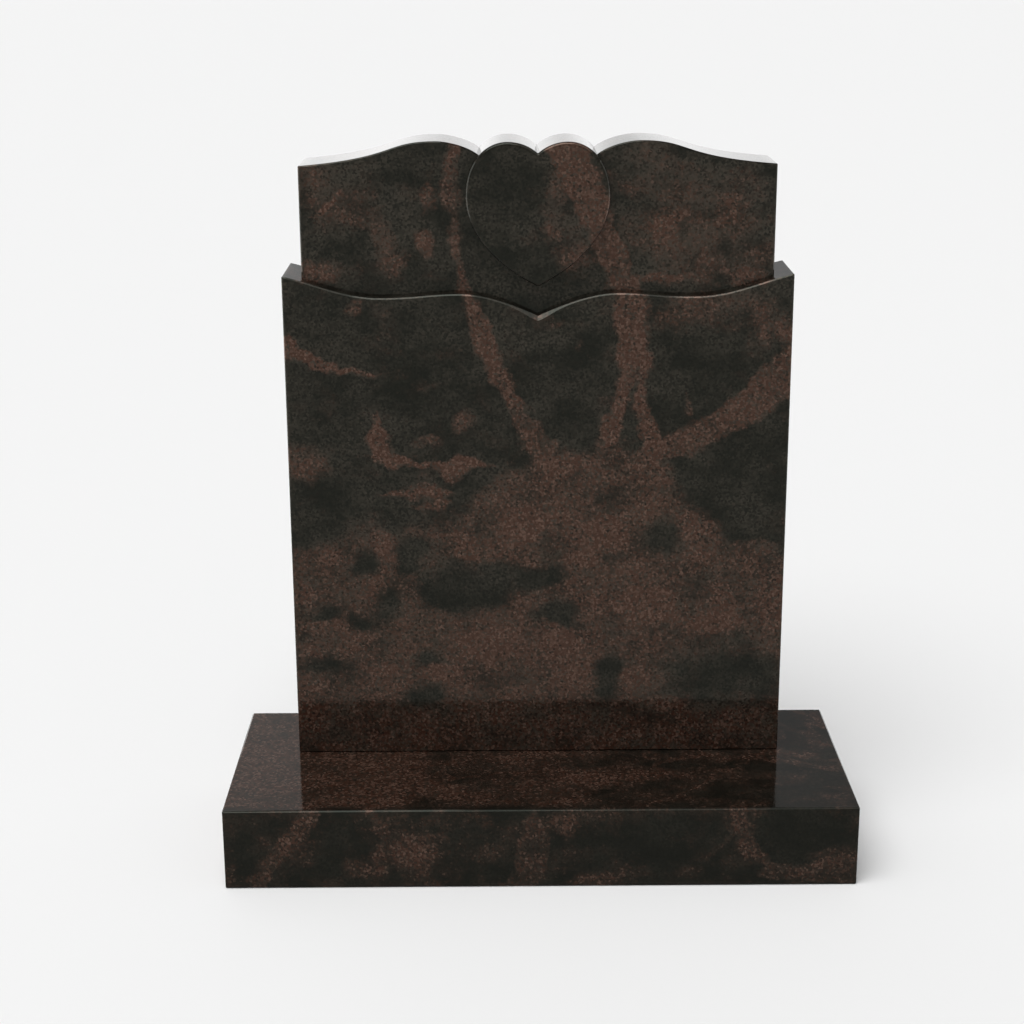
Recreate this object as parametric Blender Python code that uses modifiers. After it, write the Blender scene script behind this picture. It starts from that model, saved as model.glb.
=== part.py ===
"""Upright lawn headstone of polished granite: a headstone cut from one slab, standing on a base.

Metres, +Z up. The origin is on the ground, in the middle of the base. +Y points to the back, so the
polished face of the headstone looks towards -Y.

The headstone is one piece of stone. Its lower part has the full thickness and ends in a curved ledge
with a point in the middle and a shoulder at each side. Above the ledge the face is cut back, and a
heart is left standing on it, whose two lobes are part of the top edge.
"""

import math

import bmesh
import bpy
import numpy as np

# Base
BASE_WIDTH = 0.762
BASE_DEPTH = 0.305
BASE_HEIGHT = 0.102
BASE_ARRIS = 0.002

# Headstone, from the top of the base up
STONE_WIDTH = 0.610
STONE_THICKNESS = 0.102
STONE_HEIGHT = 0.768
STONE_ARRIS = 0.0015
BACK_MARGIN = 0.031
JOINT = 0.0003

# Upper part: how far its face and its two sides are cut back
FACE_CUT = 0.015
SIDE_CUT = 0.0225

# Top edge: a crest each side of the heart, falling in an ogee to the outer corner. A drop is
# measured down from the crests, and a reach is the length of a curve's handle.
CREST_SPACING = 0.242
CORNER_DROP = 0.028
CREST_OUTER_REACH = 0.060
CORNER_REACH = (0.118, 0.009)
CREST_INNER_REACH = 0.012
NOTCH_DROP = 0.0152
NOTCH_INSET = 0.0145
NOTCH_REACH = (0.014, 0.0105)

# Heart
HEART_WIDTH = 0.171
HEART_HEIGHT = 0.170
HEART_WIDEST_DROP = 0.064
HEART_ROUND = 0.004
LOBE_SPACING = 0.072
LOBE_OUTER_REACH = 0.024
LOBE_INNER_REACH = 0.0133
CLEFT_DROP = 0.0135
CLEFT_REACH = (0.0098, 0.009)
FLANK_UPPER_REACH = 0.043
FLANK_LOWER_REACH = 0.064
TIP_REACH = (0.008, 0.0025)

# Ledge: shoulders at the sides, a dip, a low hump and the point in the middle
SHOULDER_DROP = 0.156
SHOULDER_REACH = (0.036, 0.008)
DIP_SPACING = 0.376
DIP_DROP = 0.183
DIP_REACH = 0.044
HUMP_SPACING = 0.190
HUMP_DROP = 0.1785
HUMP_REACH = 0.033
POINT_DROP = 0.206
POINT_REACH = (0.026, 0.0125)

# How finely the curves are cut into straight pieces
CURVE_STEPS = 12
ROUND_STEPS = 3

GRANITE_COLOUR = (0.020, 0.015, 0.012, 1.0)
GRANITE_ROUGHNESS = 0.1

MIRROR = np.array([-1, 1])
STONE_BACK_Y = BASE_DEPTH / 2 - BACK_MARGIN
STONE_FOOT_Z = BASE_HEIGHT + JOINT


def clear_scene():
    for item in list(bpy.data.objects):
        bpy.data.objects.remove(item, do_unlink=True)


def new_collection(name):
    collection = bpy.data.collections.new(name)
    bpy.context.scene.collection.children.link(collection)
    return collection


def granite(name):
    """A polished dark granite with a material of its own for each piece."""
    material = bpy.data.materials.new(name)
    material.use_nodes = True
    shader = material.node_tree.nodes["Principled BSDF"]
    shader.inputs["Base Color"].default_value = GRANITE_COLOUR
    shader.inputs["Roughness"].default_value = GRANITE_ROUGHNESS
    shader.inputs["Metallic"].default_value = 0.0
    return material


def bezier(start, start_handle, end_handle, end):
    """Points of one cubic span, with its start and without its end."""
    ends = np.array([start, start_handle, end_handle, end])
    t = np.arange(CURVE_STEPS)[:, None] / CURVE_STEPS
    weights = np.hstack([(1 - t) ** 3, 3 * t * (1 - t) ** 2, 3 * t**2 * (1 - t), t**3])
    return weights @ ends


def mirrored(half):
    """A right half, in order up its side and in to the middle, made whole."""
    right = half[half[:, 0] > 0]
    return np.vstack([half, right[::-1] * MIRROR])


def ledge_half():
    """The ledge from its shoulder in to its point, as (x, height)."""
    shoulder = np.array([STONE_WIDTH / 2, STONE_HEIGHT - SHOULDER_DROP])
    dip = np.array([DIP_SPACING / 2, STONE_HEIGHT - DIP_DROP])
    hump = np.array([HUMP_SPACING / 2, STONE_HEIGHT - HUMP_DROP])
    point = np.array([0, STONE_HEIGHT - POINT_DROP])
    return np.vstack(
        [
            bezier(shoulder, shoulder - SHOULDER_REACH, dip + (DIP_REACH, 0), dip),
            bezier(dip, dip - (DIP_REACH, 0), hump + (HUMP_REACH, 0), hump),
            bezier(hump, hump - (HUMP_REACH, 0), point + POINT_REACH, point),
            [point],
        ]
    )


def lower_outline():
    return mirrored(np.vstack([[[STONE_WIDTH / 2, 0]], ledge_half()]))


def upper_outline():
    """The cut back upper part: its foot is inside the lower part, and its middle inside the heart."""
    side = STONE_WIDTH / 2 - SIDE_CUT
    foot = STONE_HEIGHT - POINT_DROP - FACE_CUT
    corner = np.array([side, STONE_HEIGHT - CORNER_DROP])
    crest = np.array([CREST_SPACING / 2, STONE_HEIGHT])
    notch = np.array([HEART_WIDTH / 2 - NOTCH_INSET, STONE_HEIGHT - NOTCH_DROP])
    hidden = [0, STONE_HEIGHT - HEART_WIDEST_DROP]
    return mirrored(
        np.vstack(
            [
                [[side, foot]],
                bezier(
                    corner,
                    corner + CORNER_REACH * MIRROR,
                    crest + (CREST_OUTER_REACH, 0),
                    crest,
                ),
                bezier(crest, crest - (CREST_INNER_REACH, 0), notch + NOTCH_REACH, notch),
                [notch, hidden],
            ]
        )
    )


def heart_outline():
    tip = np.array([0, STONE_HEIGHT - HEART_HEIGHT])
    widest = np.array([HEART_WIDTH / 2, STONE_HEIGHT - HEART_WIDEST_DROP])
    lobe = np.array([LOBE_SPACING / 2, STONE_HEIGHT])
    cleft = np.array([0, STONE_HEIGHT - CLEFT_DROP])
    return mirrored(
        np.vstack(
            [
                bezier(tip, tip + TIP_REACH, widest - (0, FLANK_LOWER_REACH), widest),
                bezier(
                    widest,
                    widest + (0, FLANK_UPPER_REACH),
                    lobe + (LOBE_OUTER_REACH, 0),
                    lobe,
                ),
                bezier(lobe, lobe - (LOBE_INNER_REACH, 0), cleft + CLEFT_REACH, cleft),
                [cleft],
            ]
        )
    )


def upright_block(name, outline, thickness, collection):
    """An outline in x and height, carried from the back of the headstone forward as a solid mesh.

    In the mesh, z is the distance in front of the back, so that all blocks share their back plane.
    """
    curve = bpy.data.curves.new(name, "CURVE")
    curve.dimensions = "2D"
    curve.fill_mode = "BOTH"
    curve.extrude = thickness / 2
    spline = curve.splines.new("POLY")
    spline.points.add(len(outline) - 1)
    spline.points.foreach_set("co", np.pad(outline, ((0, 0), (0, 2))).ravel())
    spline.use_cyclic_u = True
    drawn = bpy.data.objects.new(name + "_outline", curve)
    drawn.location = (0, STONE_BACK_Y, STONE_FOOT_Z)
    drawn.rotation_euler = (math.pi / 2, 0, 0)
    collection.objects.link(drawn)
    bpy.context.view_layer.update()

    graph = bpy.context.evaluated_depsgraph_get()
    block = bpy.data.objects.new(name, bpy.data.meshes.new_from_object(drawn.evaluated_get(graph)))
    block.matrix_world = drawn.matrix_world
    collection.objects.link(block)
    bpy.data.objects.remove(drawn, do_unlink=True)

    cage = bmesh.new()
    cage.from_mesh(block.data)
    bmesh.ops.remove_doubles(cage, verts=cage.verts, dist=1e-6)
    bmesh.ops.dissolve_limit(
        cage, angle_limit=math.radians(0.05), verts=cage.verts, edges=cage.edges
    )
    bmesh.ops.recalc_face_normals(cage, faces=cage.faces)
    for vertex in cage.verts:
        vertex.co.z = thickness if vertex.co.z > 0 else 0
    cage.to_mesh(block.data)
    cage.free()
    return block


def ease_outline(block, plane, width, segments):
    """Rounds the edges round the end of a block that lies in the plane at this local z."""
    cage = bmesh.new()
    cage.from_mesh(block.data)
    rim = [edge for edge in cage.edges if all(abs(v.co.z - plane) < 1e-6 for v in edge.verts)]
    bmesh.ops.bevel(
        cage,
        geom=rim,
        offset=width,
        offset_type="OFFSET",
        segments=segments,
        profile=0.5,
        affect="EDGES",
        clamp_overlap=True,
    )
    for vertex in cage.verts:
        if abs(vertex.co.z - plane) < 1e-6:
            vertex.co.z = plane
    cage.to_mesh(block.data)
    cage.free()


def join_to(block, other):
    union = block.modifiers.new(other.name, "BOOLEAN")
    union.operation = "UNION"
    union.solver = "MANIFOLD"  # the exact solver leaves open edges where the backs are in one plane
    union.object = other
    other.hide_render = True
    other.display_type = "WIRE"


def make_base(collection):
    bpy.ops.mesh.primitive_cube_add(size=1, location=(0, 0, BASE_HEIGHT / 2))
    base = bpy.context.object
    base.name = "base"
    base.scale = (BASE_WIDTH, BASE_DEPTH, BASE_HEIGHT)
    bpy.ops.object.transform_apply(location=False, rotation=False, scale=True)
    arris = base.modifiers.new("arris", "BEVEL")
    arris.width = BASE_ARRIS
    arris.segments = 2
    for holder in list(base.users_collection):
        holder.objects.unlink(base)
    collection.objects.link(base)
    base.data.materials.append(granite("base_granite"))
    return base


def make_headstone(collection, helpers):
    headstone = upright_block("headstone", lower_outline(), STONE_THICKNESS, collection)
    ease_outline(headstone, STONE_THICKNESS, STONE_ARRIS, 1)
    ease_outline(headstone, 0, STONE_ARRIS, 1)

    upper_thickness = STONE_THICKNESS - FACE_CUT
    upper = upright_block("upper_part", upper_outline(), upper_thickness, helpers)
    ease_outline(upper, upper_thickness, STONE_ARRIS, 1)
    ease_outline(upper, 0, STONE_ARRIS, 1)

    heart = upright_block("heart", heart_outline(), STONE_THICKNESS, helpers)
    ease_outline(heart, STONE_THICKNESS, HEART_ROUND, ROUND_STEPS)
    ease_outline(heart, 0, STONE_ARRIS, 1)

    join_to(headstone, upper)
    join_to(headstone, heart)
    headstone.data.materials.append(granite("headstone_granite"))
    return headstone


def main():
    clear_scene()
    parts = new_collection("lawn_headstone")
    helpers = new_collection("joined_shapes")
    make_base(parts)
    make_headstone(parts, helpers)


main()
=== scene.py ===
"""Looks of an upright lawn headstone of polished brown-black granite, standing on its base.

Metres, +Z up, and the face looks towards -Y. Overall sizes come from the frame. The headstone is one
stone: a lower part that ends in a curved ledge, an upper part cut back behind it, and a heart left
standing on the upper part. A height in a drawing is measured up from the foot of its stone.
"""

import math
from collections import namedtuple

import bmesh
import bpy
import numpy as np
from mathutils import Matrix, Vector
from mathutils.geometry import delaunay_2d_cdt


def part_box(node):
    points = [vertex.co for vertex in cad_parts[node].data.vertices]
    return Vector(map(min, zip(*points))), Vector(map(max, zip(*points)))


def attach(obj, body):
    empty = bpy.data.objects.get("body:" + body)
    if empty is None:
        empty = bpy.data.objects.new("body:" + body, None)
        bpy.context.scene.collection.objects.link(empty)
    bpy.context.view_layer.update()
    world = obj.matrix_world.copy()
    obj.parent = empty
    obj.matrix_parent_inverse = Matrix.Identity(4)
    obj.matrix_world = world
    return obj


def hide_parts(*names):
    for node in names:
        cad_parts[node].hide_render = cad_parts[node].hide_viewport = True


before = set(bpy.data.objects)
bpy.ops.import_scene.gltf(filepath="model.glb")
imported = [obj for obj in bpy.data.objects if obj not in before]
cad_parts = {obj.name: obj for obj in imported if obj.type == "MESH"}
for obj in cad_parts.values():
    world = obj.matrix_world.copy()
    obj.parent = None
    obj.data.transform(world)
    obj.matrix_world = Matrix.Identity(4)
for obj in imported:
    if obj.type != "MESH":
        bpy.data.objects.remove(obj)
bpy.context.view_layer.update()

stone_low, stone_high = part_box("headstone")
base_low, base_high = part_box("base")

# Overall sizes, from the frame
STONE_WIDTH = stone_high.x - stone_low.x
STONE_THICKNESS = stone_high.y - stone_low.y
STONE_HEIGHT = stone_high.z - stone_low.z
BASE_WIDTH = base_high.x - base_low.x
BASE_DEPTH = base_high.y - base_low.y
BASE_HEIGHT = base_high.z - base_low.z

# Roundings. The arris of the ledge widens towards its point. A corner of an outline is rounded, and
# an edge is shaded crisp, from these angles on.
STONE_ARRIS = 0.0015
BASE_ARRIS = 0.002
POINT_SWELL = 2.2
POINT_SWELL_REACH = 0.022
HEART_ROUND = 0.004
SHARP_TURN = math.radians(25)
CRISP_EDGE = math.radians(30)

# How finely curves, roundings and flat faces are divided
CURVE_STEPS = 20
ROUND_STEPS = 5
CORNER_STEPS = 5
FLAT_RIM = 0.0004
CAP_GRID = 0.02
RIM_CLEARANCE = CAP_GRID / 3
SAME_POINT = 1e-6
INSIDE_ONLY = 1

# Upper part: how far its face and its two sides are cut back
FACE_CUT = 0.015
SIDE_CUT = 0.0225

# Top edge. A drop is measured down from the crests, and a reach is the length of a curve's handle.
CREST_SPACING = 0.242
CORNER_DROP = 0.028
CREST_OUTER_REACH = 0.060
CORNER_REACH = (0.118, 0.009)
CREST_INNER_REACH = 0.012
NOTCH_DROP = 0.0152
NOTCH_INSET = 0.0145
NOTCH_REACH = (0.014, 0.0105)

# Heart
HEART_WIDTH = 0.171
HEART_HEIGHT = 0.170
HEART_WIDEST_DROP = 0.064
LOBE_SPACING = 0.072
LOBE_OUTER_REACH = 0.024
LOBE_INNER_REACH = 0.0133
CLEFT_DROP = 0.0135
CLEFT_REACH = (0.0098, 0.009)
FLANK_UPPER_REACH = 0.043
FLANK_LOWER_REACH = 0.064
TIP_REACH = (0.008, 0.0025)

# Ledge: shoulders at the sides, a dip, a low hump and the point in the middle
SHOULDER_DROP = 0.156
SHOULDER_REACH = (0.036, 0.008)
DIP_SPACING = 0.376
DIP_DROP = 0.183
DIP_REACH = 0.044
HUMP_SPACING = 0.190
HUMP_DROP = 0.1785
HUMP_REACH = 0.033
POINT_DROP = 0.206
POINT_REACH = (0.026, 0.0125)

MIRROR = np.array([-1, 1])
QUARTER_TURN = np.array([[0, 1], [-1, 0]])

# Camera, as a fit to the photograph's own edges. Its angles are in radians, and its lens and sensor
# in millimetres.
CAMERA_PLACE = (-0.0410, -2.2654, 1.1061)
CAMERA_YAW = 0.0038
CAMERA_PITCH = 0.2913
CAMERA_ROLL = -0.0049
CAMERA_LENS = 68.16
CAMERA_SENSOR = 36

# A vein runs "up" or "across" the face. Along that way, its line gives where its middle is, and its
# half width how far it reaches to each side. A blotch is an ellipse, with its place and reach as
# (across, up). Strength is the cover of rust in the middle. In a dark blotch it is the share of rust
# that is taken away, and in a pale one, which is painted reflection, the share of grey that is added.
Vein = namedtuple("Vein", "runs line half_width strength")
Blotch = namedtuple("Blotch", "place reach strength")

STONE_VEINS = [
    Vein(
        "up",
        [(0.395, 0.008), (0.425, -0.006), (0.48, -0.043), (0.545, -0.068), (0.6, -0.086),
         (0.66, -0.098), (0.72, -0.096), (0.768, -0.092)],
        [(0.375, 0), (0.4, 0.017), (0.5, 0.015), (0.6, 0.012), (0.64, 0.010), (0.768, 0.011)],
        0.73,
    ),
    Vein(
        "up",
        [(0.47, 0.114), (0.52, 0.113), (0.56, 0.11), (0.6, 0.107), (0.63, 0.097), (0.66, 0.076),
         (0.7, 0.06), (0.735, 0.045), (0.768, 0.03)],
        [(0.46, 0), (0.5, 0.018), (0.56, 0.019), (0.61, 0.021), (0.66, 0.02), (0.768, 0.022)],
        0.74,
    ),
    Vein(
        "up",
        [(0.4, 0.08), (0.43, 0.094), (0.45, 0.102), (0.5, 0.104)],
        [(0.385, 0), (0.41, 0.018), (0.45, 0.011), (0.51, 0.011), (0.53, 0)],
        0.85,
    ),
    Vein(
        "up",
        [(0.4, 0.15), (0.42, 0.141), (0.44, 0.131), (0.46, 0.126), (0.5, 0.129)],
        [(0.385, 0), (0.41, 0.016), (0.46, 0.01), (0.51, 0.012), (0.53, 0)],
        0.8,
    ),
    Vein(
        "across",
        [(0.13, 0.388), (0.16, 0.398), (0.2, 0.415), (0.23, 0.435), (0.26, 0.458), (0.305, 0.497)],
        [(0.1, 0), (0.14, 0.017), (0.2, 0.018), (0.25, 0.023), (0.305, 0.034)],
        0.66,
    ),
    Vein(
        "across",
        [(-0.305, 0.533), (-0.29, 0.527), (-0.265, 0.5), (-0.25, 0.494), (-0.195, 0.493)],
        [(-0.305, 0.014), (-0.27, 0.012), (-0.24, 0.009), (-0.2, 0.006), (-0.17, 0)],
        0.85,
    ),
    Vein(
        "up",
        [(0.385, -0.193), (0.41, -0.2), (0.43, -0.203), (0.45, -0.204)],
        [(0.375, 0), (0.39, 0.016), (0.415, 0.016), (0.43, 0.008), (0.455, 0)],
        0.85,
    ),
    Vein(
        "across",
        [(-0.2, 0.39), (-0.175, 0.381), (-0.15, 0.374), (-0.11, 0.368), (-0.08, 0.373), (-0.02, 0.378)],
        [(-0.205, 0), (-0.19, 0.013), (-0.16, 0.007), (-0.12, 0.009), (-0.095, 0.016),
         (-0.07, 0.008), (-0.02, 0)],
        0.95,
    ),
    Vein(
        "across",
        [(-0.215, 0.343), (-0.15, 0.341), (-0.08, 0.341)],
        [(-0.215, 0), (-0.19, 0.009), (-0.11, 0.009), (-0.07, 0)],
        0.7,
    ),
    Vein(
        "across",
        [(-0.18, 0.324), (-0.13, 0.327), (-0.09, 0.328)],
        [(-0.185, 0), (-0.15, 0.006), (-0.11, 0.012), (-0.085, 0)],
        0.65,
    ),
    Vein(
        "across",
        [(0.24, 0.36), (0.26, 0.366), (0.285, 0.376)],
        [(0.238, 0), (0.26, 0.008), (0.288, 0)],
        0.8,
    ),
    Vein(
        "up",
        [(0.425, 0.198), (0.45, 0.187), (0.47, 0.18), (0.49, 0.183)],
        [(0.42, 0), (0.44, 0.011), (0.47, 0.007), (0.492, 0)],
        0.6,
    ),
    Vein(
        "across",
        [(-0.285, 0.672), (-0.26, 0.686), (-0.235, 0.702), (-0.222, 0.72)],
        [(-0.285, 0), (-0.26, 0.006), (-0.23, 0.012), (-0.215, 0)],
        0.75,
    ),
]

# The height below which the stone is mottled with rust, as (across, up)
STONE_FIELD = [
    (-0.305, 0.275), (-0.25, 0.285), (-0.2, 0.302), (-0.15, 0.302), (-0.11, 0.312), (-0.08, 0.335),
    (-0.05, 0.362), (-0.01, 0.385), (0.03, 0.402), (0.08, 0.405), (0.12, 0.4), (0.15, 0.385),
    (0.175, 0.365), (0.19, 0.34), (0.225, 0.305), (0.25, 0.285), (0.305, 0.268),
]

STONE_RUST = [
    Blotch((-0.285, 0.38), (0.034, 0.038), 0.6),
    Blotch((-0.096, 0.432), (0.016, 0.018), 0.6),
    Blotch((-0.138, 0.408), (0.026, 0.011), 0.55),
    Blotch((0.053, 0.526), (0.011, 0.012), 0.7),
    Blotch((0.013, 0.552), (0.022, 0.018), 0.45),
    Blotch((-0.212, 0.577), (0.012, 0.012), 0.6),
    Blotch((0.262, 0.55), (0.022, 0.042), 0.65),
    Blotch((0.19, 0.575), (0.075, 0.034), 0.4),
    Blotch((0.288, 0.545), (0.02, 0.02), 0.55),
    Blotch((0.135, 0.198), (0.052, 0.038), 1.0),
    Blotch((0.208, 0.174), (0.062, 0.022), 0.95),
    Blotch((-0.06, 0.145), (0.062, 0.032), 0.95),
    Blotch((0.035, 0.148), (0.048, 0.034), 0.95),
    Blotch((0.045, 0.11), (0.042, 0.034), 0.85),
    Blotch((-0.125, 0.105), (0.038, 0.022), 0.9),
    Blotch((-0.025, 0.308), (0.042, 0.026), 0.95),
    Blotch((0.08, 0.285), (0.048, 0.034), 0.95),
    Blotch((0.195, 0.303), (0.034, 0.03), 0.85),
    Blotch((0.055, 0.26), (0.04, 0.02), 0.85),
    Blotch((-0.19, 0.285), (0.028, 0.02), 0.9),
    Blotch((-0.085, 0.275), (0.028, 0.018), 0.9),
    Blotch((0.12, 0.105), (0.028, 0.02), 0.85),
    Blotch((0.03, 0.38), (0.04, 0.024), 0.9),
    Blotch((-0.262, 0.622), (0.036, 0.014), 0.6),
    Blotch((-0.175, 0.67), (0.017, 0.044), 0.55),
    Blotch((-0.168, 0.628), (0.016, 0.017), 0.5),
    Blotch((-0.118, 0.717), (0.014, 0.022), 0.6),
    Blotch((-0.13, 0.652), (0.014, 0.022), 0.75),
    Blotch((0.015, 0.665), (0.013, 0.017), 0.65),
    Blotch((0.158, 0.68), (0.03, 0.022), 0.75),
    Blotch((0.186, 0.715), (0.018, 0.026), 0.55),
    Blotch((0.15, 0.615), (0.04, 0.009), 0.75),
    Blotch((0.255, 0.618), (0.03, 0.018), 0.75),
    Blotch((0.045, 0.635), (0.048, 0.018), 0.5),
    Blotch((0.19, 0.69), (0.16, 0.11), 0.46),
    Blotch((-0.235, 0.70), (0.09, 0.08), 0.34),
    Blotch((0.025, 0.685), (0.05, 0.07), 0.36),
    Blotch((0.21, 0.565), (0.09, 0.04), 0.52),
]

STONE_DARK = [
    Blotch((0.042, 0.465), (0.052, 0.07), 0.8),
    Blotch((0.2, 0.505), (0.05, 0.05), 0.6),
    Blotch((0.235, 0.345), (0.06, 0.045), 0.8),
    Blotch((-0.08, 0.232), (0.066, 0.034), 0.85),
    Blotch((-0.155, 0.27), (0.024, 0.021), 0.85),
    Blotch((-0.215, 0.26), (0.018, 0.017), 0.8),
    Blotch((-0.105, 0.205), (0.022, 0.018), 0.75),
    Blotch((0.0, 0.238), (0.03, 0.018), 0.8),
    Blotch((-0.183, 0.205), (0.018, 0.028), 0.7),
    Blotch((-0.222, 0.178), (0.02, 0.016), 0.8),
    Blotch((-0.27, 0.188), (0.02, 0.011), 0.75),
    Blotch((0.022, 0.186), (0.028, 0.017), 0.8),
    Blotch((0.148, 0.283), (0.02, 0.028), 0.75),
    Blotch((0.235, 0.105), (0.084, 0.044), 0.85),
    Blotch((0.086, 0.102), (0.016, 0.028), 0.75),
    Blotch((-0.14, 0.127), (0.018, 0.012), 0.75),
    Blotch((-0.15, 0.072), (0.028, 0.016), 0.75),
    Blotch((-0.275, 0.12), (0.026, 0.014), 0.6),
    Blotch((-0.055, 0.7), (0.06, 0.07), 0.6),
]

# Painted reflection: pale blotches that lighten the grey of the matrix, mostly high on the face, where
# the polish is made to look as if it gave back brighter surroundings
STONE_PAINTED_REFLECTION = [
    Blotch((-0.235, 0.69), (0.10, 0.08), 0.5),
    Blotch((0.02, 0.68), (0.045, 0.06), 0.5),
    Blotch((0.19, 0.69), (0.16, 0.10), 0.6),
    Blotch((0.0, 0.53), (0.06, 0.03), 0.3),
]

BASE_VEINS = [
    Vein(
        "up",
        [(0, -0.344), (0.02, -0.33), (0.05, -0.31), (0.08, -0.287), (0.102, -0.275)],
        [(0, 0.014), (0.05, 0.016), (0.102, 0.014)],
        0.54,
    ),
    Vein(
        "up",
        [(0.05, -0.185), (0.07, -0.192), (0.102, -0.207)],
        [(0.045, 0), (0.07, 0.012), (0.102, 0.01)],
        0.48,
    ),
    Vein(
        "up",
        [(0.05, -0.165), (0.075, -0.147), (0.102, -0.122)],
        [(0.045, 0), (0.07, 0.016), (0.102, 0.012)],
        0.44,
    ),
    Vein(
        "up",
        [(0, -0.028), (0.02, -0.015), (0.05, -0.01), (0.102, -0.005)],
        [(0, 0.022), (0.05, 0.02), (0.09, 0.016), (0.102, 0.006)],
        0.51,
    ),
    Vein(
        "up",
        [(0.04, 0.083), (0.075, 0.087), (0.102, 0.092)],
        [(0.035, 0), (0.07, 0.012), (0.102, 0.014)],
        0.41,
    ),
    Vein(
        "up",
        [(0.02, 0.278), (0.04, 0.265), (0.06, 0.253), (0.08, 0.243), (0.102, 0.235)],
        [(0.005, 0), (0.03, 0.014), (0.102, 0.013)],
        0.54,
    ),
    Vein(
        "across",
        [(0.26, 0.012), (0.3, 0.015), (0.345, 0.018), (0.381, 0.027)],
        [(0.25, 0), (0.28, 0.014), (0.345, 0.016), (0.381, 0.022)],
        0.54,
    ),
    Vein(
        "across",
        [(0.175, 0.018), (0.2, 0.04), (0.22, 0.056), (0.24, 0.078)],
        [(0.17, 0), (0.2, 0.01), (0.235, 0.012), (0.245, 0)],
        0.44,
    ),
]

BASE_RUST = [
    Blotch((-0.16, 0.048), (0.055, 0.03), 0.68),
    Blotch((-0.215, 0.03), (0.045, 0.018), 0.55),
    Blotch((0.025, 0.087), (0.028, 0.02), 0.55),
    Blotch((-0.07, 0.088), (0.02, 0.018), 0.51),
    Blotch((-0.07, 0.04), (0.028, 0.022), 0.42),
    Blotch((0.055, 0.008), (0.034, 0.016), 0.51),
    Blotch((0.08, 0.045), (0.02, 0.026), 0.42),
    Blotch((0.33, 0.042), (0.022, 0.009), 0.47),
    Blotch((-0.37, 0.012), (0.015, 0.02), 0.42),
]

BASE_DARK = [
    Blotch((0.15, 0.06), (0.06, 0.05), 0.5),
    Blotch((0.31, 0.07), (0.05, 0.032), 0.6),
]

# Minerals, as colours of light given back, and the tint that each gives to the polish. Grey crystals
# take this share of the rust's tint.
BLACK_MICA = (0.0055, 0.0048, 0.0036, 1)
GREEN_GREY = (0.0290, 0.0262, 0.0205, 1)
DEEP_RUST = (0.0270, 0.0115, 0.0071, 1)
PALE_RUST = (0.090, 0.055, 0.041, 1)
DARK_SHEEN = (0.27, 0.325, 0.28, 1)
RUST_SHEEN = (1.0, 0.70, 0.56, 1)
GREY_SHEEN = 0.3

# Sizes of the crystals and of the clumps that they gather in, which are wider than tall
CRYSTAL = 0.0025
CLUMP = 0.036
CLUMP_STRETCH = 1.5

# Each pair is for a place without rust and for one of rust alone: how far a crystal is one mineral
# and not a blend, how far the grey ones differ in lightness, and how light they are
BY_CRYSTAL = (0.15, 1)
FLECK_SPREAD = (1.5, 2.2)
FLECK_GAIN = (1, 2.2)

# How softly a crystal goes from one mineral to the other, how rare pale rust is, and how much of it
# is left where the clumps' noise is 0
CRYSTAL_SOFTNESS = 0.11
PALE_RARITY = 2.5
PALE_LEAST = 0.4

# The matrix is darkest and lightest at these values of the clumps' noise, at so many times its grey
GREY_NOISE = (0.32, 0.68)
GREY_TIMES = (0.3, 1.7)

# The polish goes from the smoothest crystal to the roughest, over a faint grain
SMOOTHEST = 0.045
ROUGHEST = 0.1
GRAIN_STRENGTH = 0.08
GRAIN_DEPTH = 0.0003

# Noises, which mostly stay within NOISE_REACH of their middle
NOISE_MIDDLE = 0.5
NOISE_REACH = 0.25
BEND_NOISE = {"Detail": 3, "Roughness": 0.6}
CLUMP_NOISE = {"Detail": 5, "Roughness": 0.64}
CLOUD_NOISE = {"Detail": 3, "Roughness": 0.6, "Distortion": 0.6}

# How the drawn veins bend, as pairs of wavelength and reach, and how they slant with depth
BENDS = [(0.16, 0.010), (0.028, 0.007)]
SLANT = (0.35, 0.5)

# A vein is so much wider than drawn and fades over this width. A blotch starts and is full at these
# numbers of its reach. The mottled field fades over twice its edge.
VEIN_WIDER = 1.45
VEIN_SOFTNESS = 0.014
BLOTCH_FADE = (1.5, 0.25)
FIELD_EDGE = 0.022
FIELD_COVER = 0.57

# The cover at which rust starts and is full, and how strongly the clumps break it up first
RUST_STARTS = 0.16
RUST_FULL = 0.86
BREAK_UP = 1.3

# Behind the drawing, one noise makes clouds of this size, and another makes veins of this cover where
# it is within LOOSE_VEIN_REACH of its middle
CLOUD = 0.17
LOOSE_VEIN = 0.62
LOOSE_VEIN_REACH = 0.05

# A stone's drawing comes first. Plain is the cover of rust outside all veins, blotches and clouds,
# thickest is a cloud's in its middle, and clouds are the noise values between which it goes from one
# to the other. Density is the rust's share where it is full, grey the usual share of grey in the
# matrix, and lean how much the clouds' noise gains in a metre to the right. The drawing fades between
# two depths behind the face.
Stone = namedtuple(
    "Stone",
    "veins rust dark pale field plain thickest density grey clouds lean reflectivity drawing_fades",
)

FLOOR_COLOUR = (0.86, 0.86, 0.86, 1)
FLOOR_ROUGHNESS = 0.8
FLOOR_REFLECTIVITY = 0.1
FLOOR_HALF = 40

# The room by direction, as parts of a unit vector: the heights and depths at which its glow starts and
# is full, and the sides between which its plain light goes from one strength to the other
ROOM_COLOUR = (1, 1, 1, 1)
GLOW_HEIGHTS = (0.19, 0.08)
GLOW_DEPTHS = (-0.1, 0.6)
GLOW_STRENGTH = 0.95
ROOM_SIDES = (-0.25, 0.25)
ROOM_STRENGTHS = (0.55, 0.28)

# Soft daylight from above, in front and a little to the left
SUN_FROM = (-0.25, -0.45, 1.0)
SUN_STRENGTH = 2.3
SUN_SPREAD = math.radians(50)

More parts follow.
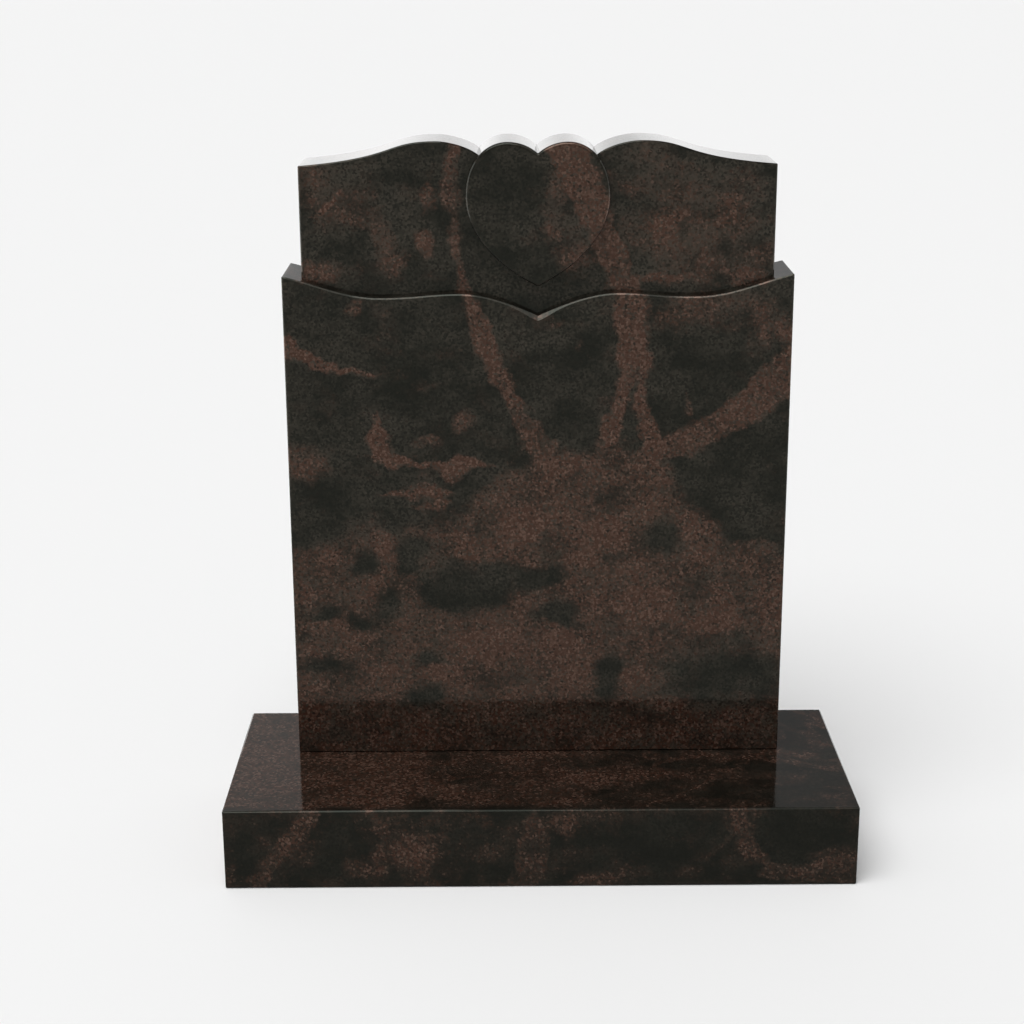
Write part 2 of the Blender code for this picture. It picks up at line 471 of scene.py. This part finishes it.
# Area lights that only show as reflections, with the direction they shine in
Panel = namedtuple("Panel", "name place towards size brightness")
PANELS = [
    Panel("overhead", (0, -1.4, 3.9), (0, 0.12, -1), (6.4, 1.8), 2.4),
    Panel("left_side", (-1.7, -0.3, 0.85), (1, 0, 0), (1.9, 1.7), 3.2),
    Panel("right_side", (1.7, -0.3, 0.85), (-1, 0, 0), (1.9, 1.7), 1.6),
]


def span(start, start_handle, end_handle, end):
    """A cubic span without its last point: start, the two handles and end, weighted by (1 - t)^3,
    3t(1 - t)^2, 3t^2(1 - t) and t^3."""
    t = np.arange(CURVE_STEPS)[:, None] / CURVE_STEPS
    weights = np.hstack([(1 - t) ** 3, 3 * t * (1 - t) ** 2, 3 * t**2 * (1 - t), t**3])
    return weights @ np.array([start, start_handle, end_handle, end])


def mirrored(half):
    """A right half, in order up its side and in to the middle, made whole."""
    right = half[half[:, 0] > 0]
    return np.vstack([half, right[::-1] * MIRROR])


def eased_profile(depth, far_round, far_steps):
    """(inset, depth) from the near cap of a block to its far one: a 45 degree arris of STONE_ARRIS at the
    near end, and at the far end a quarter circle in so many steps, inset r(1 - sin a) and depth
    r(1 - cos a) from the end, for a from 90 to 0 degrees. One step is an arris too. A narrow flat
    rim each side of a rounder one keeps the broad faces flat where the shading is smooth."""
    angle = np.linspace(math.pi / 2, 0, far_steps + 1)
    far = far_round * np.stack([1 - np.sin(angle), 1 - np.cos(angle)], axis=1)
    far[:, 1] = depth - far[:, 1]
    if far_steps > 1:
        far = np.vstack([far[0] - (0, FLAT_RIM), far, far[-1] + (FLAT_RIM, 0)])
    return np.vstack([[[STONE_ARRIS, 0], [0, STONE_ARRIS]], far])[:, None]


def filled(outline, depth):
    """Points and triangles over the inside of a closed outline at one depth: its own points and a grid
    of points inside it, joined by Delaunay's rule."""
    low = outline.min(axis=0)
    size = outline.max(axis=0) - low
    cells = np.ceil(size / CAP_GRID).astype(int)
    across, up = np.meshgrid(
        low[0] + size[0] * (np.arange(cells[0]) + 0.5) / cells[0],
        low[1] + size[1] * (np.arange(cells[1]) + 0.5) / cells[1],
    )
    grid = np.stack([across.ravel(), up.ravel()], axis=1)
    apart = np.linalg.norm(grid[:, None] - outline[None], axis=2).min(axis=1)
    flat = np.vstack([outline, grid[apart > RIM_CLEARANCE]])
    rim = list(range(len(outline)))
    places, _, triangles, *_ = delaunay_2d_cdt(flat.tolist(), [], [rim], INSIDE_ONLY, SAME_POINT)
    return np.insert(np.array(places), 2, depth, axis=1), np.array(triangles)


def carried(outline, profile, corner_radius):
    """Points and faces of a profile carried round a closed outline, with a cap at each end. The profile
    gives, for each ring and for each point of the outline or for all alike, how far in and how deep
    it lies. A corner P that is moved in by i moves by i times (m + n) / (1 + m.n), where m and n are
    the inward normals beside it. A sharp corner that is entered along the unit vector A and left
    along B turns into (1 - t)^2 (P - kA) + 2t(1 - t) P + t^2 (P + kB), with k the tangent of half the
    turn times r - i on an outer corner, but at least 0, and r + i on an inner one."""
    leaving = np.roll(outline, -1, axis=0) - outline
    leaving /= np.linalg.norm(leaving, axis=1, keepdims=True)
    arriving = np.roll(leaving, 1, axis=0)
    after = leaving @ QUARTER_TURN
    before = arriving @ QUARTER_TURN
    inset = profile[:, :, 0]
    shift = (before + after) / (1 + (before * after).sum(axis=1, keepdims=True))
    corner = outline + inset[..., None] * shift

    half_turn = np.arccos(np.clip((arriving * leaving).sum(axis=1), -1, 1)) / 2
    sharp = half_turn > SHARP_TURN / 2
    outer = np.sign((before * leaving).sum(axis=1))
    reach = np.maximum(corner_radius - inset * outer, 0) * np.tan(half_turn) * sharp
    t = np.linspace(0, 1, CORNER_STEPS)[:, None]
    reach = reach[..., None, None]
    corner = corner[:, :, None]
    arcs = (
        (1 - t) ** 2 * (corner - reach * arriving[:, None])
        + 2 * t * (1 - t) * corner
        + t**2 * (corner + reach * leaving[:, None])
    )
    depth = np.broadcast_to(profile[:, :, None, 1:], arcs.shape[:3] + (1,))
    kept = sharp[:, None] | (np.arange(CORNER_STEPS) == 0)
    points = np.concatenate([arcs, depth], axis=3)[:, kept]

    count = points.shape[1]
    here = np.arange(count)
    following = np.roll(here, -1)
    start = count * np.arange(len(profile) - 1)[:, None]
    sides = np.stack(
        [start + here, start + following, start + count + following, start + count + here], axis=-1
    )
    near_points, near_faces = filled(points[0, :, :2], points[0, 0, 2])
    far_points, far_faces = filled(points[-1, :, :2], points[-1, 0, 2])
    near_start = points.size // 3
    far_start = near_start + len(near_points)
    faces = (
        sides.reshape(-1, 4).tolist()
        + (near_faces[:, ::-1] + near_start).tolist()
        + (far_faces + far_start).tolist()
    )
    return np.vstack([points.reshape(-1, 3), near_points, far_points]), faces


def new_piece(name, points, faces):
    """A mesh whose loose points are dropped, and whose caps are sewn to their sides."""
    mesh = bpy.data.meshes.new(name)
    mesh.from_pydata(points.tolist(), [], faces)
    cage = bmesh.new()
    cage.from_mesh(mesh)
    loose = [vertex for vertex in cage.verts if not vertex.link_faces]
    bmesh.ops.delete(cage, geom=loose, context="VERTS")
    bmesh.ops.remove_doubles(cage, verts=cage.verts, dist=SAME_POINT)
    cage.to_mesh(mesh)
    cage.free()
    piece = bpy.data.objects.new(name, mesh)
    bpy.context.scene.collection.objects.link(piece)
    return piece


def upright_block(name, outline, profile):
    """An outline in x and height, carried from the back of the headstone forward."""
    points, faces = carried(outline, profile, STONE_ARRIS)
    placed = np.stack(
        [points[:, 0], stone_high.y - points[:, 2], stone_low.z + points[:, 1]], axis=1
    )
    return new_piece(name, placed, faces)


def ledge_half():
    """The ledge from its shoulder in to its point, as (x, height)."""
    shoulder = np.array([STONE_WIDTH / 2, STONE_HEIGHT - SHOULDER_DROP])
    dip = np.array([DIP_SPACING / 2, STONE_HEIGHT - DIP_DROP])
    hump = np.array([HUMP_SPACING / 2, STONE_HEIGHT - HUMP_DROP])
    point = np.array([0, STONE_HEIGHT - POINT_DROP])
    return np.vstack(
        [
            span(shoulder, shoulder - SHOULDER_REACH, dip + (DIP_REACH, 0), dip),
            span(dip, dip - (DIP_REACH, 0), hump + (HUMP_REACH, 0), hump),
            span(hump, hump - (HUMP_REACH, 0), point + POINT_REACH, point),
            [point],
        ]
    )


def lower_outline():
    """The lower part: straight up its side to the shoulder, and in along the ledge."""
    return mirrored(np.vstack([[[STONE_WIDTH / 2, 0]], ledge_half()]))


def upper_outline():
    """The cut back upper part: its foot is inside the lower part, and its middle inside the heart."""
    side = STONE_WIDTH / 2 - SIDE_CUT
    foot = STONE_HEIGHT - POINT_DROP - FACE_CUT
    corner = np.array([side, STONE_HEIGHT - CORNER_DROP])
    crest = np.array([CREST_SPACING / 2, STONE_HEIGHT])
    notch = np.array([HEART_WIDTH / 2 - NOTCH_INSET, STONE_HEIGHT - NOTCH_DROP])
    hidden = [0, STONE_HEIGHT - HEART_WIDEST_DROP]
    return mirrored(
        np.vstack(
            [
                [[side, foot]],
                span(
                    corner,
                    corner + CORNER_REACH * MIRROR,
                    crest + (CREST_OUTER_REACH, 0),
                    crest,
                ),
                span(crest, crest - (CREST_INNER_REACH, 0), notch + NOTCH_REACH, notch),
                [notch, hidden],
            ]
        )
    )


def heart_outline():
    """The heart: from its tip up a flank to its widest, over the lobe and down into the cleft."""
    tip = np.array([0, STONE_HEIGHT - HEART_HEIGHT])
    widest = np.array([HEART_WIDTH / 2, STONE_HEIGHT - HEART_WIDEST_DROP])
    lobe = np.array([LOBE_SPACING / 2, STONE_HEIGHT])
    cleft = np.array([0, STONE_HEIGHT - CLEFT_DROP])
    return mirrored(
        np.vstack(
            [
                span(tip, tip + TIP_REACH, widest - (0, FLANK_LOWER_REACH), widest),
                span(
                    widest,
                    widest + (0, FLANK_UPPER_REACH),
                    lobe + (LOBE_OUTER_REACH, 0),
                    lobe,
                ),
                span(lobe, lobe - (LOBE_INNER_REACH, 0), cleft + CLEFT_REACH, cleft),
                [cleft],
            ]
        )
    )


def joined(piece, others):
    """The piece with the other closed forms added to it, as one mesh."""
    for other in others:
        step = piece.modifiers.new(other.name, "BOOLEAN")
        step.operation = "UNION"
        step.solver = "MANIFOLD"
        step.object = other
    graph = bpy.context.evaluated_depsgraph_get()
    mesh = bpy.data.meshes.new_from_object(piece.evaluated_get(graph))
    piece.modifiers.clear()
    piece.data = mesh
    for other in others:
        bpy.data.objects.remove(other, do_unlink=True)
    return piece


def shade(piece):
    piece.data.shade_smooth()
    piece.data.set_sharp_from_angle(angle=CRISP_EDGE)


def make_headstone():
    """The three blocks of the headstone, joined. The front arris of the lower one is widened by
    POINT_SWELL times exp(-(x / POINT_SWELL_REACH)^2), with x the distance from the middle."""
    lower = lower_outline()
    swell = POINT_SWELL * np.exp(-((lower[:, 0] / POINT_SWELL_REACH) ** 2))
    lower_profile = np.tile(eased_profile(STONE_THICKNESS, STONE_ARRIS, 1), (1, len(lower), 1))
    lower_profile[-1, :, 0] += STONE_ARRIS * swell
    lower_profile[-2, :, 1] -= STONE_ARRIS * swell
    upper_profile = eased_profile(STONE_THICKNESS - FACE_CUT, STONE_ARRIS, 1)
    heart_profile = eased_profile(STONE_THICKNESS, HEART_ROUND, ROUND_STEPS)
    stone = upright_block("headstone_stone", lower, lower_profile)
    upper = upright_block("upper_part", upper_outline(), upper_profile)
    heart = upright_block("heart", heart_outline(), heart_profile)
    joined(stone, [upper, heart])
    shade(stone)
    return stone


def make_base():
    """The base: its plan, carried up from its underside."""
    half = np.array([BASE_WIDTH, BASE_DEPTH]) / 2
    plan = half * [[-1, -1], [1, -1], [1, 1], [-1, 1]]
    points, faces = carried(plan, eased_profile(BASE_HEIGHT, BASE_ARRIS, 1), BASE_ARRIS)
    middle = (base_low + base_high) / 2
    base = new_piece("base_stone", points + (middle.x, middle.y, base_low.z), faces)
    shade(base)
    return base


def add_node(tree, kind, settings, inputs):
    """One node. An input is a value for its socket, or another node's socket that feeds it."""
    node = tree.nodes.new(kind)
    for name, value in settings.items():
        setattr(node, name, value)
    for key, value in inputs.items():
        if isinstance(value, bpy.types.NodeSocket):
            tree.links.new(value, node.inputs[key])
        else:
            node.inputs[key].default_value = value
    return node


def maths(tree, operation, *values):
    node = add_node(tree, "ShaderNodeMath", {"operation": operation}, dict(enumerate(values)))
    return node.outputs[0]


def vector_maths(tree, operation, output, *values):
    node = add_node(
        tree, "ShaderNodeVectorMath", {"operation": operation}, dict(enumerate(values))
    )
    return node.outputs[output]


def eased_range(tree, value, start, end, low, high):
    """Low where the value is at start, high at end, and a smooth step between."""
    node = add_node(
        tree,
        "ShaderNodeMapRange",
        {"interpolation_type": "SMOOTHSTEP"},
        {"Value": value, "From Min": start, "From Max": end, "To Min": low, "To Max": high},
    )
    return node.outputs[0]


def mixed(tree, factor, first, second):
    node = add_node(
        tree, "ShaderNodeMix", {"data_type": "RGBA"}, {0: factor, 6: first, 7: second}
    )
    return node.outputs[2]


def blended(tree, factor, first, second):
    """The first number where the factor is 0, and the second where it is 1."""
    node = add_node(
        tree, "ShaderNodeMix", {"data_type": "FLOAT"}, {0: factor, 2: first, 3: second}
    )
    return node.outputs[0]


def noise_colour(tree, place, size, character):
    """Three unlike noises of one wavelength, as one colour."""
    node = add_node(
        tree, "ShaderNodeTexNoise", {}, {"Vector": place, "Scale": 1 / size, **character}
    )
    return node.outputs["Color"]


def three_numbers(tree, colour):
    return add_node(tree, "ShaderNodeSeparateColor", {}, {"Color": colour}).outputs


def curve(tree, value, points, handle):
    """A curve through the points, level past its ends."""
    node = add_node(tree, "ShaderNodeFloatCurve", {}, {"Value": value})
    mapping = node.mapping
    mapping.clip_min_x = -1
    mapping.clip_min_y = -1
    mapping.extend = "HORIZONTAL"
    drawn = mapping.curves[0].points
    drawn[0].location = points[0]
    drawn[-1].location = points[-1]
    for point in points[1:-1]:
        drawn.new(*point)
    for point in drawn:
        point.handle_type = handle
    mapping.update()
    return node.outputs[0]


def drawing_place(tree, centre):
    """(object place, across, up): where a point lies in the drawing of the veins. Two noises bend the
    object's coordinates, and depth then slides them, so that a vein slants through the stone."""
    coordinates = add_node(tree, "ShaderNodeTexCoord", {}, {}).outputs["Object"]
    centred = add_node(
        tree, "ShaderNodeMapping", {}, {"Vector": coordinates, "Location": -Vector(centre)}
    ).outputs[0]
    bent = centred
    for size, reach in BENDS:
        noise = noise_colour(tree, centred, size, BEND_NOISE)
        gain = reach / NOISE_REACH
        pushed = vector_maths(
            tree, "MULTIPLY_ADD", 0, noise, (gain,) * 3, (-gain * NOISE_MIDDLE,) * 3
        )
        bent = vector_maths(tree, "ADD", 0, bent, pushed)
    across = vector_maths(tree, "DOT_PRODUCT", 1, bent, (1, SLANT[0], 0))
    up = vector_maths(tree, "DOT_PRODUCT", 1, bent, (0, SLANT[1], 1))
    return centred, across, up


def vein_cover(tree, across, up, vein):
    """The vein's strength well inside it, falling to 0 at its edges."""
    along, off = (up, across) if vein.runs == "up" else (across, up)
    middle = curve(tree, along, vein.line, "AUTO")
    half_width = curve(tree, along, vein.half_width, "VECTOR")
    distance = maths(tree, "ABSOLUTE", maths(tree, "SUBTRACT", off, middle))
    inside = maths(tree, "SUBTRACT", maths(tree, "MULTIPLY", half_width, VEIN_WIDER), distance)
    return eased_range(tree, inside, 0, VEIN_SOFTNESS, 0, vein.strength)


def blotch_cover(tree, drawing, blotch, outside, inside):
    """One value outside the ellipse and the other well inside it, by the length of the way from its
    middle as a number of reaches."""
    across, up = blotch.place
    wide, tall = blotch.reach
    scaled = vector_maths(
        tree,
        "MULTIPLY_ADD",
        0,
        drawing,
        (1 / wide, 0, 1 / tall),
        (-across / wide, 0, -up / tall),
    )
    distance = vector_maths(tree, "LENGTH", 1, scaled)
    return eased_range(tree, distance, *BLOTCH_FADE, outside, inside)


def drawn_cover(tree, across, up, stone):
    """(rust, grey): the cover of rust by the drawing, and how many times the usual grey it leaves, which
    the pale blotches raise as painted reflection. The strongest of the veins, blotches and field holds,
    and each dark blotch then takes its share."""
    drawing = add_node(tree, "ShaderNodeCombineXYZ", {}, {"X": across, "Z": up}).outputs[0]
    layers = [vein_cover(tree, across, up, vein) for vein in stone.veins]
    layers += [blotch_cover(tree, drawing, blotch, 0, blotch.strength) for blotch in stone.rust]
    if stone.field:
        above = maths(tree, "SUBTRACT", up, curve(tree, across, stone.field, "AUTO"))
        layers.append(eased_range(tree, above, FIELD_EDGE, -FIELD_EDGE, 0, FIELD_COVER))
    rust = stone.plain
    for layer in layers:
        rust = maths(tree, "MAXIMUM", rust, layer)
    for blotch in stone.dark:
        left = blotch_cover(tree, drawing, blotch, 1, 1 - blotch.strength)
        rust = maths(tree, "MULTIPLY", rust, left)
    grey = 1
    # Pale blotches are painted reflection: each raises the grey where it lies
    for blotch in stone.pale:
        gain = blotch_cover(tree, drawing, blotch, 1, 1 + blotch.strength)
        grey = maths(tree, "MAXIMUM", grey, gain)
    return rust, grey


def loose_cover(tree, place, stone):
    """Rust behind the drawing: veins where one noise passes its middle, and clouds of another."""
    noise = three_numbers(tree, noise_colour(tree, place, CLOUD, CLOUD_NOISE))
    ridge = maths(tree, "ABSOLUTE", maths(tree, "SUBTRACT", noise[0], NOISE_MIDDLE))
    vein = eased_range(tree, ridge, LOOSE_VEIN_REACH, 0, 0, LOOSE_VEIN)
    lean = vector_maths(tree, "DOT_PRODUCT", 1, place, (stone.lean, 0, 0))
    leaning = maths(tree, "ADD", noise[1], lean)
    cloud = eased_range(tree, leaning, *stone.clouds, stone.plain, stone.thickest)
    return maths(tree, "MAXIMUM", vein, cloud)


def patches(tree, centre, stone):
    """(place, rust, grey, clump): the rust is a smooth step of a sum. One part is its cover, by the
    drawing near the face and by loose clouds and veins behind it. The other is BREAK_UP times
    the clumps' noise less its middle, which breaks the patches' edges and opens gaps in them."""
    place, across, up = drawing_place(tree, centre)
    depth = add_node(tree, "ShaderNodeSeparateXYZ", {}, {"Vector": place}).outputs["Y"]
    drawn, grey = drawn_cover(tree, across, up, stone)
    faded = eased_range(tree, depth, *stone.drawing_fades, 0, 1)
    cover = blended(tree, faded, drawn, loose_cover(tree, place, stone))

    stretched = vector_maths(tree, "MULTIPLY", 0, place, (1 / CLUMP_STRETCH, 1, 1))
    clump = three_numbers(tree, noise_colour(tree, stretched, CLUMP, CLUMP_NOISE))
    break_up = maths(tree, "SUBTRACT", clump[0], NOISE_MIDDLE)
    broken = maths(tree, "MULTIPLY_ADD", break_up, BREAK_UP, cover)
    rust = eased_range(tree, broken, RUST_STARTS, RUST_FULL, 0, stone.density)
    return place, rust, grey, clump


def minerals(tree, rust, grey, clump, crystal, usual_grey):
    """(colour, sheen): a crystal is rust where its own random number is below the rust there, and grey
    as far as the clumps and another number of its own make it."""
    below = maths(tree, "SUBTRACT", rust, crystal[0])
    single = eased_range(tree, below, -CRYSTAL_SOFTNESS, CRYSTAL_SOFTNESS, 0, 1)
    share = blended(tree, blended(tree, rust, *BY_CRYSTAL), rust, single)

    fleck = maths(tree, "SUBTRACT", crystal[1], NOISE_MIDDLE)
    fleck = maths(tree, "MULTIPLY_ADD", fleck, blended(tree, rust, *FLECK_SPREAD), 1)
    fleck = maths(tree, "MULTIPLY", fleck, blended(tree, rust, *FLECK_GAIN))
    darkest, lightest = (times * usual_grey for times in GREY_TIMES)
    cloudy = eased_range(tree, clump[1], *GREY_NOISE, darkest, lightest)
    grey = maths(tree, "MULTIPLY", maths(tree, "MULTIPLY", grey, cloudy), fleck)
    matrix = mixed(tree, grey, BLACK_MICA, GREEN_GREY)

    pale = maths(tree, "POWER", crystal[2], PALE_RARITY)
    pale = maths(tree, "MULTIPLY", pale, maths(tree, "ADD", clump[2], PALE_LEAST))
    colour = mixed(tree, share, matrix, mixed(tree, pale, DEEP_RUST, PALE_RUST))
    tinted = maths(tree, "MULTIPLY_ADD", grey, GREY_SHEEN, share)
    return colour, mixed(tree, tinted, DARK_SHEEN, RUST_SHEEN)


def granite(name, centre, stone):
    """Polished granite of a dark grey-green matrix, in which black, rust and pale rust crystals crowd
    into patches."""
    material = bpy.data.materials.new(name)
    material.use_nodes = True
    tree = material.node_tree
    shader = tree.nodes["Principled BSDF"]
    place, rust, grey, clump = patches(tree, centre, stone)
    cells = add_node(tree, "ShaderNodeTexVoronoi", {}, {"Vector": place, "Scale": 1 / CRYSTAL})
    crystal = three_numbers(tree, cells.outputs["Color"])
    colour, sheen = minerals(tree, rust, grey, clump, crystal, stone.grey)
    grain = add_node(
        tree,
        "ShaderNodeBump",
        {},
        {
            "Height": cells.outputs["Distance"],
            "Strength": GRAIN_STRENGTH,
            "Distance": GRAIN_DEPTH,
        },
    )
    looks = {
        "Base Color": colour,
        "Specular Tint": sheen,
        "Roughness": eased_range(tree, crystal[1], 0, 1, SMOOTHEST, ROUGHEST),
        "Normal": grain.outputs[0],
    }
    for socket, source in looks.items():
        tree.links.new(source, shader.inputs[socket])
    shader.inputs["Specular IOR Level"].default_value = stone.reflectivity
    return material


def finish_piece(piece, node, material):
    piece.data.materials.clear()
    piece.data.materials.append(material)
    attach(piece, "root")
    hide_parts(node)


def make_floor():
    corners = FLOOR_HALF * np.array([[-1, -1, 0], [1, -1, 0], [1, 1, 0], [-1, 1, 0]])
    floor = new_piece("floor", corners, [[0, 1, 2, 3]])
    material = bpy.data.materials.new("pale_floor")
    material.use_nodes = True
    shader = material.node_tree.nodes["Principled BSDF"]
    shader.inputs["Base Color"].default_value = FLOOR_COLOUR
    shader.inputs["Roughness"].default_value = FLOOR_ROUGHNESS
    shader.inputs["Specular IOR Level"].default_value = FLOOR_REFLECTIVITY
    floor.data.materials.append(material)


def make_world():
    """A soft pale room: brightest low down behind the stone, and duller higher up and to the right."""
    world = bpy.data.worlds.new("pale_room")
    bpy.context.scene.world = world
    world.use_nodes = True
    tree = world.node_tree
    background = tree.nodes["Background"]
    direction = add_node(tree, "ShaderNodeTexCoord", {}, {}).outputs["Generated"]
    parts = add_node(tree, "ShaderNodeSeparateXYZ", {}, {"Vector": direction})
    low = eased_range(tree, parts.outputs["Z"], *GLOW_HEIGHTS, 0, 1)
    behind = eased_range(tree, parts.outputs["Y"], *GLOW_DEPTHS, 0, 1)
    side = eased_range(tree, parts.outputs["X"], *ROOM_SIDES, *ROOM_STRENGTHS)
    glow = maths(tree, "MULTIPLY", low, behind)
    strength = maths(tree, "MULTIPLY_ADD", glow, GLOW_STRENGTH, side)
    background.inputs["Color"].default_value = ROOM_COLOUR
    tree.links.new(strength, background.inputs["Strength"])


def make_sun():
    sun = bpy.data.lights.new("soft_key", "SUN")
    sun.energy = SUN_STRENGTH
    sun.angle = SUN_SPREAD
    lamp = bpy.data.objects.new("soft_key", sun)
    lamp.rotation_euler = Vector(SUN_FROM).to_track_quat("Z", "Y").to_euler()
    bpy.context.scene.collection.objects.link(lamp)


def make_panels():
    """A panel's power is pi times its brightness and area, so that it shows with that brightness."""
    for panel in PANELS:
        light = bpy.data.lights.new(panel.name, "AREA")
        light.shape = "RECTANGLE"
        light.size, light.size_y = panel.size
        light.energy = panel.brightness * math.pi * light.size * light.size_y
        lamp = bpy.data.objects.new(panel.name, light)
        lamp.location = panel.place
        lamp.rotation_euler = Vector(panel.towards).to_track_quat("-Z", "Y").to_euler()
        lamp.visible_camera = False
        lamp.visible_diffuse = False
        bpy.context.scene.collection.objects.link(lamp)


def make_camera():
    view = bpy.data.cameras.new("photo_view")
    view.sensor_width = CAMERA_SENSOR
    view.lens = CAMERA_LENS
    camera = bpy.data.objects.new("photo_view", view)
    camera.matrix_world = (
        Matrix.Translation(CAMERA_PLACE)
        @ Matrix.Rotation(-CAMERA_YAW, 4, "Z")
        @ Matrix.Rotation(math.pi / 2 - CAMERA_PITCH, 4, "X")
        @ Matrix.Rotation(CAMERA_ROLL, 4, "Z")
    )
    bpy.context.scene.collection.objects.link(camera)
    bpy.context.scene.camera = camera


HEADSTONE_GRANITE = Stone(
    STONE_VEINS,
    STONE_RUST,
    STONE_DARK,
    STONE_PAINTED_REFLECTION,
    STONE_FIELD,
    plain=0.16,
    thickest=0.57,
    density=0.84,
    grey=0.33,
    clouds=(0.45, 0.6),
    lean=0,
    reflectivity=0.4,
    drawing_fades=(0.018, 0.055),
)
BASE_GRANITE = Stone(
    BASE_VEINS,
    BASE_RUST,
    BASE_DARK,
    [],
    None,
    plain=0.28,
    thickest=0.8,
    density=0.72,
    # Partly the base's own grey and partly painted shade: this low share darkens the base's face as a
    # darker reflection of the floor close in front of it would
    grey=0.1,
    clouds=(0.36, 0.66),
    lean=-0.5,
    reflectivity=0.31,
    drawing_fades=(0.001, 0.02),
)
finish_piece(
    make_headstone(),
    "headstone",
    granite("headstone_granite", (0, stone_low.y, stone_low.z), HEADSTONE_GRANITE),
)
finish_piece(
    make_base(),
    "base",
    granite("base_granite", (0, base_low.y, base_low.z), BASE_GRANITE),
)
make_floor()
make_world()
make_sun()
make_panels()
make_camera()
bpy.context.scene.view_settings.view_transform = "Standard"
